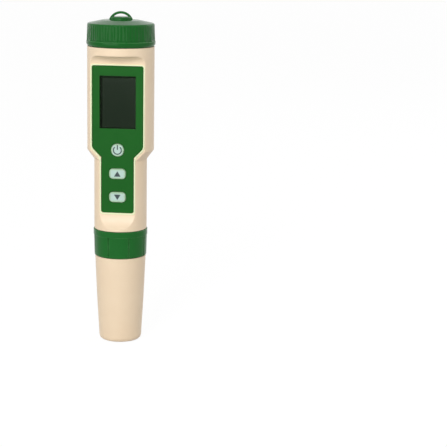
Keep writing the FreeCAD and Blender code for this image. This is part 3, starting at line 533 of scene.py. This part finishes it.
def glassMaterial():
    look = glassLook
    material, tree, shader = startMaterial("sensorGlass")
    ripples = noiseAt(tree, ownPlace(tree), look["ripples"], detail=3.0)
    feed(tree, shader, {"Roughness": spread(tree, ripples, 0.3, 0.7, *look["roughness"]),
                        "Base Color": look["color"], "Transmission Weight": 1.0, "IOR": look["ior"]})
    bumpInto(tree, shader, ripples, look["bump"], look["deep"])
    return material


# two tones that follow the height of a texture, the first at low and the second at high
zebraLook = {"first": rgb(205, 120, 120), "second": rgb(26, 24, 26), "low": 0.45, "high": 0.55,
             "roughness": 0.6, "scale": 900.0, "bump": 0.3, "deep": 0.00003}
ceramicLook = {"first": rgb(196, 190, 178), "second": rgb(238, 234, 226), "low": 0.1, "high": 0.4,
               "roughness": 0.85, "scale": 5200.0, "bump": 0.6, "deep": 0.00005}
foamLook = {"first": rgb(150, 138, 96), "second": rgb(234, 224, 182), "low": 0.15, "high": 0.7,
            "roughness": 0.95, "scale": 1500.0, "fineScale": 4200.0, "fineShare": 0.5, "bump": 0.8,
            "deep": 0.0004}


def layersAt(tree, place, look):
    return addNode(tree, "ShaderNodeTexWave", {"Vector": place, "Scale": look["scale"]},
                   bands_direction="X").outputs["Fac"]


def poresAt(tree, place, look):
    return cellsAt(tree, place, look["scale"])


def foamCellsAt(tree, place, look):
    fine = cellsAt(tree, place, look["fineScale"])
    return work(tree, "ADD", poresAt(tree, place, look), work(tree, "MULTIPLY", fine, look["fineShare"]))


def toneMaterial(name, look, heightAt):
    material, tree, shader = startMaterial(name)
    height = heightAt(tree, ownPlace(tree), look)
    color = mixColor(tree, spread(tree, height, look["low"], look["high"]), look["first"], look["second"])
    feed(tree, shader, {"Base Color": color, "Roughness": look["roughness"]})
    bumpInto(tree, shader, height, look["bump"], look["deep"])
    return material


steelCan = {"color": rgb(196, 196, 194), "dark": rgb(170, 170, 170), "stain": rgb(150, 148, 142),
            "scale": 900.0, "stretch": (1, 1, 0.15), "roughness": 0.22}
darkSteel = {"color": rgb(120, 120, 122), "dark": rgb(96, 96, 99), "stain": rgb(80, 80, 82),
             "scale": 1200.0, "stretch": (1, 1, 0.1), "roughness": 0.35}
goldBrass = {"color": rgb(216, 184, 106), "dark": rgb(190, 156, 84), "stain": rgb(150, 124, 76),
             "scale": 1200.0, "stretch": (1, 1, 0.2), "roughness": 0.25}
silver = {"color": rgb(176, 172, 166), "dark": rgb(140, 134, 130), "stain": rgb(96, 84, 92),
          "scale": 2600.0, "stretch": (1, 1, 0.3), "roughness": 0.4}

finishes = {
    creamPlastic: ["main_housing", "protective_cover"],
    capGreen: ["battery_cap"],
    ringGreen: ["lock_ring"],
    panelGreen: ["front_panel"],
    probeGrey: ["probe_body"],
    blackPlastic: ["probe_socket", "lcd_frame", "battery_holder", "controller_chip", "board_parts"],
    rubberMaterial(): ["cover_seal_ring", "plug_seal_ring", "neck_seal_ring"],
    metalMaterial("cellSteel", steelCan): ["button_cells", "leaf_contact", "key_switches"],
    metalMaterial("sensorSteel", darkSteel): ["temperature_sensor", "conductivity_pins"],
    metalMaterial("contactBrass", goldBrass): ["plug_pins", "contact_plate"],
    metalMaterial("coatedSilver", silver): ["bulb_wire"],
    boardMaterial(): ["circuit_board"],
    glassMaterial(): ["glass_electrode"],
    toneMaterial("layeredRubber", zebraLook, layersAt): ["zebra_strip"],
    toneMaterial("porousCeramic", ceramicLook, poresAt): ["reference_junction"],
}
for finish, members in finishes.items():
    for member in members:
        dress(nodes[member], finish)
print("nodes dressed")


inkLook = {"color": rgb(38, 54, 58), "tint": rgb(52, 68, 70), "cloud": 0.6, "roughness": 0.5, "grain": 5200.0,
           "bump": 0.3, "deep": 0.00002}


def inkMaterial():
    material, tree, shader = startMaterial("keyInk")
    mould = useMould(tree, inkLook)
    feed(tree, shader, {"Base Color": mould.outputs["Color"], "Roughness": mould.outputs["Roughness"]})
    bumpInto(tree, shader, mould.outputs["Height"], inkLook["bump"], inkLook["deep"])
    return material


keyInk = inkMaterial()
markSizes = {"thick": 0.00006, "ringRadius": 0.0022, "around": 96, "stroke": 0.0006, "gapHalf": 38,
             "barTop": 0.0029, "barFoot": 0.0003, "triangle": 0.0021, "triangleTall": 0.95, "soft": 0.00018,
             "softSteps": 3}


def powerMark(face, z):
    # a ring that is open at the top, with an upright bar in the gap
    m = markSizes
    deselectAll()
    bpy.ops.mesh.primitive_circle_add(vertices=m["around"], radius=m["ringRadius"] + m["stroke"] / 2,
                                      fill_type="NGON")
    ring = nameNew("powerMark")
    editAll(ring)
    bpy.ops.mesh.inset(thickness=m["stroke"])
    leaveEdit()
    editFaces(ring, lambda c, n: c.length < hair)
    bpy.ops.mesh.delete(type="FACE")
    leaveEdit()
    editFaces(ring, lambda c, n: abs(math.degrees(math.atan2(c.x, c.y))) < m["gapHalf"])
    bpy.ops.mesh.delete(type="FACE")
    leaveEdit()
    deselectAll()
    bpy.ops.mesh.primitive_grid_add(x_subdivisions=2, y_subdivisions=6, size=1)
    bar = nameNew("powerBar")
    bar.scale = (m["stroke"], m["barTop"] - m["barFoot"], 1)
    bar.location = (0, (m["barTop"] + m["barFoot"]) / 2, 0)
    settle(bar)
    deselectAll()
    bar.select_set(True)
    ring.select_set(True)
    bpy.context.view_layer.objects.active = ring
    bpy.ops.object.join()
    thicken(ring, m["thick"])
    standUp(ring, face, z)
    return ring


def triangleMark(name, face, z, down):
    m = markSizes
    deselectAll()
    bpy.ops.mesh.primitive_circle_add(vertices=3, radius=m["triangle"], fill_type="NGON")
    mark = nameNew(name)
    mark.scale = (1, m["triangleTall"], 1)
    settle(mark)
    low = min(v.co.y for v in mark.data.vertices)
    high = max(v.co.y for v in mark.data.vertices)
    mark.location.y = -(low + high) / 2
    settle(mark)
    bpy.ops.object.mode_set(mode="EDIT")
    bpy.ops.mesh.select_all(action="SELECT")
    bpy.ops.mesh.bevel(offset=m["soft"], segments=m["softSteps"], affect="VERTICES")
    leaveEdit()
    if down:
        bpy.ops.transform.rotate(value=math.pi, orient_axis="Z", center_override=(0, 0, 0))
        settle(mark)
    thicken(mark, m["thick"])
    standUp(mark, face, z)
    return mark


for keyName, build in (("power_key", powerMark),
                       ("up_key", lambda y, z: triangleMark("upMark", y, z, False)),
                       ("down_key", lambda y, z: triangleMark("downMark", y, z, True))):
    mark = build(*keyFront(keyName))
    dress(mark, keyInk)
    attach(mark, keyName)
print("keys marked")


# the raised cream lip round the panel, which follows its waist
lipSettings = {"gap": 0.00015, "width": 0.00075, "height": 0.0004, "sunk": 0.00012, "round": 0.00025,
               "waistHalf": 0.009, "slopeTop": 0.1108, "slopeFoot": 0.1056, "turn": 45, "corner": 0.0018,
               "cornerSteps": 8, "roundSteps": 3, "sharp": 60, "smooth": 50}


def makePanelLip():
    s = lipSettings
    low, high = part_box("front_panel")
    grow = s["gap"] + s["width"]
    drop = grow * math.tan(math.radians(s["turn"] / 2))
    wide = high.x + grow
    slim = s["waistHalf"] + grow
    slopeTop = s["slopeTop"] - drop
    slopeFoot = s["slopeFoot"] - drop
    top = high.z + grow
    foot = low.z - grow
    deselectAll()
    bpy.ops.mesh.primitive_plane_add(size=1)
    lip = nameNew("panelLip")
    lip.scale = (wide * 2, top - slopeTop, 1)
    lip.location = (0, (top + slopeTop) / 2, 0)
    settle(lip)
    editPoints(lip, lambda co: co.y < slopeTop + hair)
    bpy.ops.mesh.extrude_region_move(TRANSFORM_OT_translate={"value": (0, slopeFoot - slopeTop, 0)})
    bpy.ops.transform.resize(value=(slim / wide, 1, 1))
    bpy.ops.mesh.extrude_region_move(TRANSFORM_OT_translate={"value": (0, foot - slopeFoot, 0)})
    bpy.ops.mesh.select_all(action="SELECT")
    bpy.ops.mesh.dissolve_limited(angle_limit=0.01)
    bpy.ops.mesh.normals_make_consistent(inside=False)
    leaveEdit()
    editPoints(lip, lambda co: True)
    bpy.ops.mesh.bevel(offset=s["corner"], segments=s["cornerSteps"], affect="VERTICES")
    leaveEdit()
    editAll(lip)
    bpy.ops.mesh.inset(thickness=s["width"])
    bpy.ops.mesh.delete(type="FACE")
    bpy.ops.mesh.select_all(action="SELECT")
    bpy.ops.mesh.extrude_region_move(TRANSFORM_OT_translate={"value": (0, 0, s["height"] + s["sunk"])})
    bpy.ops.mesh.select_all(action="SELECT")
    bpy.ops.mesh.normals_make_consistent(inside=False)
    leaveEdit()
    rounding = lip.modifiers.new("softEdges", "BEVEL")
    rounding.width = s["round"]
    rounding.segments = s["roundSteps"]
    rounding.limit_method = "ANGLE"
    rounding.angle_limit = math.radians(s["sharp"])
    applyModifier(lip, rounding)
    standUp(lip, low.y + s["sunk"], 0)
    return smooth(lip, s["smooth"])


# a thin black ink border of the display, widened at the left and top into a painted shadow where the recess
# shades it
borderShadowSettings = {"openLow": (-0.01005, 0.1216), "openHigh": (0.01005, 0.1506), "left": 0.0014,
                "right": 0.0004, "top": 0.0014, "foot": 0.0005, "thick": 0.00004}


def makeDisplayBorderShadow():
    m = borderShadowSettings
    glassLow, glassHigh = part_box("lcd_glass")
    deselectAll()
    bpy.ops.mesh.primitive_grid_add(x_subdivisions=3, y_subdivisions=3, size=2)
    borderShadow = nameNew("displayBorderShadow")
    across = [glassLow.x, m["openLow"][0] + m["left"], m["openHigh"][0] - m["right"], glassHigh.x]
    upward = [glassLow.z, m["openLow"][1] + m["foot"], m["openHigh"][1] - m["top"], glassHigh.z]
    # the grid's points lie at -1, -1/3, 1/3 and 1
    for point in borderShadow.data.vertices:
        point.co.x = across[round((point.co.x + 1) * 1.5)]
        point.co.y = upward[round((point.co.y + 1) * 1.5)]
    editFaces(borderShadow, lambda c, n: across[1] < c.x < across[2] and upward[1] < c.y < upward[2])
    bpy.ops.mesh.delete(type="FACE")
    leaveEdit()
    thicken(borderShadow, m["thick"])
    standUp(borderShadow, glassLow.y, 0)
    return borderShadow


borderShadow = makeDisplayBorderShadow()
# near-black for the ink border and for the painted shadow of the recess
borderShadowLook = dict(blackLook, color=rgb(10, 22, 8), tint=rgb(8, 16, 6), shine=0.05, wear=0.0, dust=0.0)
dress(borderShadow, mouldedPlastic("borderShadowBlack", borderShadowLook))
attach(borderShadow, "housing")

# the lip's cream is paler and greener than the body's: a painted highlight on the lip and a painted green
# reflection from the panel
lipHighlightLook = dict(creamLook, color=rgb(238, 247, 204), tint=rgb(230, 240, 192), roughness=0.36, wear=0.0)
lip = makePanelLip()
dress(lip, mouldedPlastic("lipCreamHighlight", lipHighlightLook))
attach(lip, "housing")

# the foot of the panel, which the housing's lower scoop would hide
footSettings = {"half": 0.00895, "tall": 0.0026, "corner": 0.0011, "cornerSteps": 8, "proud": 0.00006,
                "sink": 0.00009, "thick": 0.00016}


def makePanelFoot():
    f = footSettings
    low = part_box("front_panel")[0]
    deselectAll()
    bpy.ops.mesh.primitive_plane_add(size=1)
    foot = nameNew("panelFoot")
    foot.scale = (f["half"] * 2, f["tall"], 1)
    foot.location = (0, low.z + f["tall"] / 2, 0)
    settle(foot)
    editPoints(foot, lambda co: co.y < low.z + f["corner"])
    bpy.ops.mesh.bevel(offset=f["corner"], segments=f["cornerSteps"], affect="VERTICES")
    leaveEdit()
    thicken(foot, f["thick"])
    standUp(foot, low.y + f["thick"] - f["proud"], 0)
    editPoints(foot, lambda co: co.z > low.z + f["tall"] - f["corner"])
    bpy.ops.transform.translate(value=(0, f["sink"], 0))
    leaveEdit()
    return foot


panelFoot = makePanelFoot()
dress(panelFoot, panelGreen)
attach(panelFoot, "housing")
print("panel lip and foot raised")


# the housing again, with the board rails' corners no longer through the grip's sides
shellSettings = {"merge": 0.000001, "mergeMoved": 0.00002, "beyondX": 0.01395, "lowY": -0.0050,
                 "highY": -0.0047, "lowZ": 0.0720, "highZ": 0.1010, "inward": 0.00018, "smooth": 28}


def makeHousingShell():
    s = shellSettings
    pick(nodes["main_housing"])
    bpy.ops.object.duplicate()
    shell = nameNew("housingShell")
    editAll(shell)
    bpy.ops.mesh.remove_doubles(threshold=s["merge"])
    leaveEdit()
    for side in (1, -1):
        editPoints(shell, lambda co: co.x * side > s["beyondX"] and s["lowY"] < co.y < s["highY"]
                   and s["lowZ"] < co.z < s["highZ"])
        bpy.ops.transform.translate(value=(-side * s["inward"], 0, 0))
        leaveEdit()
    editAll(shell)
    bpy.ops.mesh.remove_doubles(threshold=s["mergeMoved"])
    leaveEdit()
    pick(shell)
    bpy.ops.mesh.customdata_custom_splitnormals_clear()
    smooth(shell, s["smooth"])
    weights = shell.modifiers.new("evenShading", "WEIGHTED_NORMAL")
    weights.keep_sharp = True
    applyModifier(shell, weights)
    return shell


shell = makeHousingShell()
dress(shell, creamPlastic)
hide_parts("main_housing")
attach(shell, "housing")
print("housing shell smoothed")

# screw thread on the housing's neck, seen with the cap off
threadSettings = {"above": 0.0013, "radius": 0.01588, "high": 0.00022, "thick": 0.0009, "crest": 0.4,
                  "pitch": 0.0018, "turns": 1.5, "steps": 96, "sink": 0.982, "smooth": 40}


def makeNeckThread():
    s = threadSettings
    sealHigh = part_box("neck_seal_ring")[1].z
    deselectAll()
    bpy.ops.mesh.primitive_plane_add(size=1)
    thread = nameNew("neckThread")
    thread.scale = (s["high"] * 2, s["thick"], 1)
    settle(thread)
    bpy.ops.transform.translate(value=(s["radius"], 0, 0))
    settle(thread)
    editPoints(thread, lambda co: co.x > s["radius"])
    bpy.ops.transform.resize(value=(1, s["crest"], 1))
    leaveEdit()
    standUp(thread, 0, sealHigh + s["above"])
    winding = thread.modifiers.new("winding", "SCREW")
    winding.angle = math.tau * s["turns"]
    winding.screw_offset = s["pitch"] * s["turns"]
    winding.steps = winding.render_steps = round(s["steps"] * s["turns"])
    applyModifier(thread, winding)
    middle = sealHigh + s["above"] + s["pitch"] * s["turns"] / 2
    for side in (1, -1):
        # the two ends of the winding run down into the neck
        editPoints(thread, lambda co: co.x * side > 0 and abs(co.y) < hair
                   and abs(co.z - middle) > s["pitch"] * s["turns"] / 2 - s["thick"])
        bpy.ops.transform.resize(value=(s["sink"], s["sink"], 1), center_override=(0, 0, 0))
        leaveEdit()
    editAll(thread)
    bpy.ops.mesh.fill_holes(sides=8)
    bpy.ops.mesh.select_all(action="SELECT")
    bpy.ops.mesh.normals_make_consistent(inside=False)
    leaveEdit()
    return smooth(thread, s["smooth"])


thread = makeNeckThread()
dress(thread, creamPlastic)
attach(thread, "housing")
print("neck thread cut")

# the foam in the cover
spongeSettings = {"around": 72, "bulge": 0.0002, "gap": 0.0006, "round": 0.0008, "roundSteps": 3,
                  "voxel": 0.00035, "pitSize": 0.0011, "pit": 0.00035, "pitMiddle": 0.6, "smooth": 60}


def makeSponge():
    s = spongeSettings
    low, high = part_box("storage_sponge")
    deselectAll()
    bpy.ops.mesh.primitive_cylinder_add(vertices=s["around"], radius=high.x - s["bulge"] * 2,
                                        depth=high.z - low.z - s["gap"],
                                        location=(0, 0, (high.z + low.z) / 2))
    sponge = nameNew("coverSponge")
    settle(sponge)
    bpy.ops.object.mode_set(mode="EDIT")
    bpy.ops.mesh.select_all(action="SELECT")
    bpy.ops.mesh.bevel(offset=s["round"], segments=s["roundSteps"], affect="EDGES")
    bpy.ops.mesh.normals_make_consistent(inside=False)
    leaveEdit()
    remesh = sponge.modifiers.new("evenOut", "REMESH")
    remesh.mode = "VOXEL"
    remesh.voxel_size = s["voxel"]
    applyModifier(sponge, remesh)
    texture = bpy.data.textures.new("foamPits", "VORONOI")
    texture.noise_scale = s["pitSize"]
    pits = sponge.modifiers.new("pits", "DISPLACE")
    pits.texture = texture
    pits.texture_coords = "LOCAL"
    pits.strength = s["pit"]
    pits.mid_level = s["pitMiddle"]
    applyModifier(sponge, pits)
    return smooth(sponge, s["smooth"])


sponge = makeSponge()
dress(sponge, toneMaterial("openFoam", foamLook, foamCellsAt))
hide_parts("storage_sponge")
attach(sponge, "cover")
print("sponge cut")


# a floor that answers to the lamps and glows a little, so that it stays as pale as the room
floorSettings = {"size": 30, "grey": 0.5, "roughness": 0.7, "glow": 1.15, "share": 0.8}


def floorMaterial():
    s = floorSettings
    material, tree, shader = startMaterial("paleFloor")
    feed(tree, shader, {"Base Color": (s["grey"], s["grey"], s["grey"], 1), "Roughness": s["roughness"]})
    glow = addNode(tree, "ShaderNodeEmission", {"Strength": s["glow"], "Color": (1, 1, 1, 1)})
    showMixed(tree, work(tree, "MULTIPLY", seenRays(tree), s["share"]), shader, glow)
    return material


deselectAll()
bpy.ops.mesh.primitive_plane_add(size=floorSettings["size"])
floor = nameNew("paleFloor")
dress(floor, floorMaterial())

worldSettings = {"seen": 1.0, "ambient": 0.47}
world = bpy.data.worlds.new("softRoom")
bpy.context.scene.world = world
world.use_nodes = True
worldTree = world.node_tree
worldStrength = spread(worldTree, seenRays(worldTree), 0, 1, worldSettings["ambient"], worldSettings["seen"])
feed(worldTree, worldTree.nodes["Background"], {"Color": (1, 1, 1, 1), "Strength": worldStrength})

lampSettings = {
    "keyLamp": {"azimuth": -8, "elevation": 28, "distance": 1.0, "size": (0.3, 0.3), "power": 4.1},
    "fillLamp": {"azimuth": 70, "elevation": 15, "distance": 1.2, "size": (0.8, 0.8), "power": 1.0},
    "bankLamp": {"azimuth": -26, "elevation": 6, "distance": 1.0, "size": (1.0, 0.36), "power": 1.8},
    "backLamp": {"azimuth": 135, "elevation": 38, "distance": 1.2, "size": (0.7, 0.7), "power": 2.2},
}
# the lamps point at the middle of the pen
target = Vector((0, 0, 0.09))
for lampName, s in lampSettings.items():
    a = math.radians(s["azimuth"])
    e = math.radians(s["elevation"])
    way = Vector((math.sin(a) * math.cos(e), -math.cos(a) * math.cos(e), math.sin(e)))
    bpy.ops.object.light_add(type="AREA", location=target + way * s["distance"])
    lamp = bpy.context.object
    lamp.name = lampName
    lamp.rotation_euler = way.to_track_quat("Z", "Y").to_euler()
    lamp.data.shape = "RECTANGLE"
    lamp.data.size, lamp.data.size_y = s["size"]
    lamp.data.energy = s["power"]
bpy.context.scene.view_settings.view_transform = "Standard"
print("stage lit")
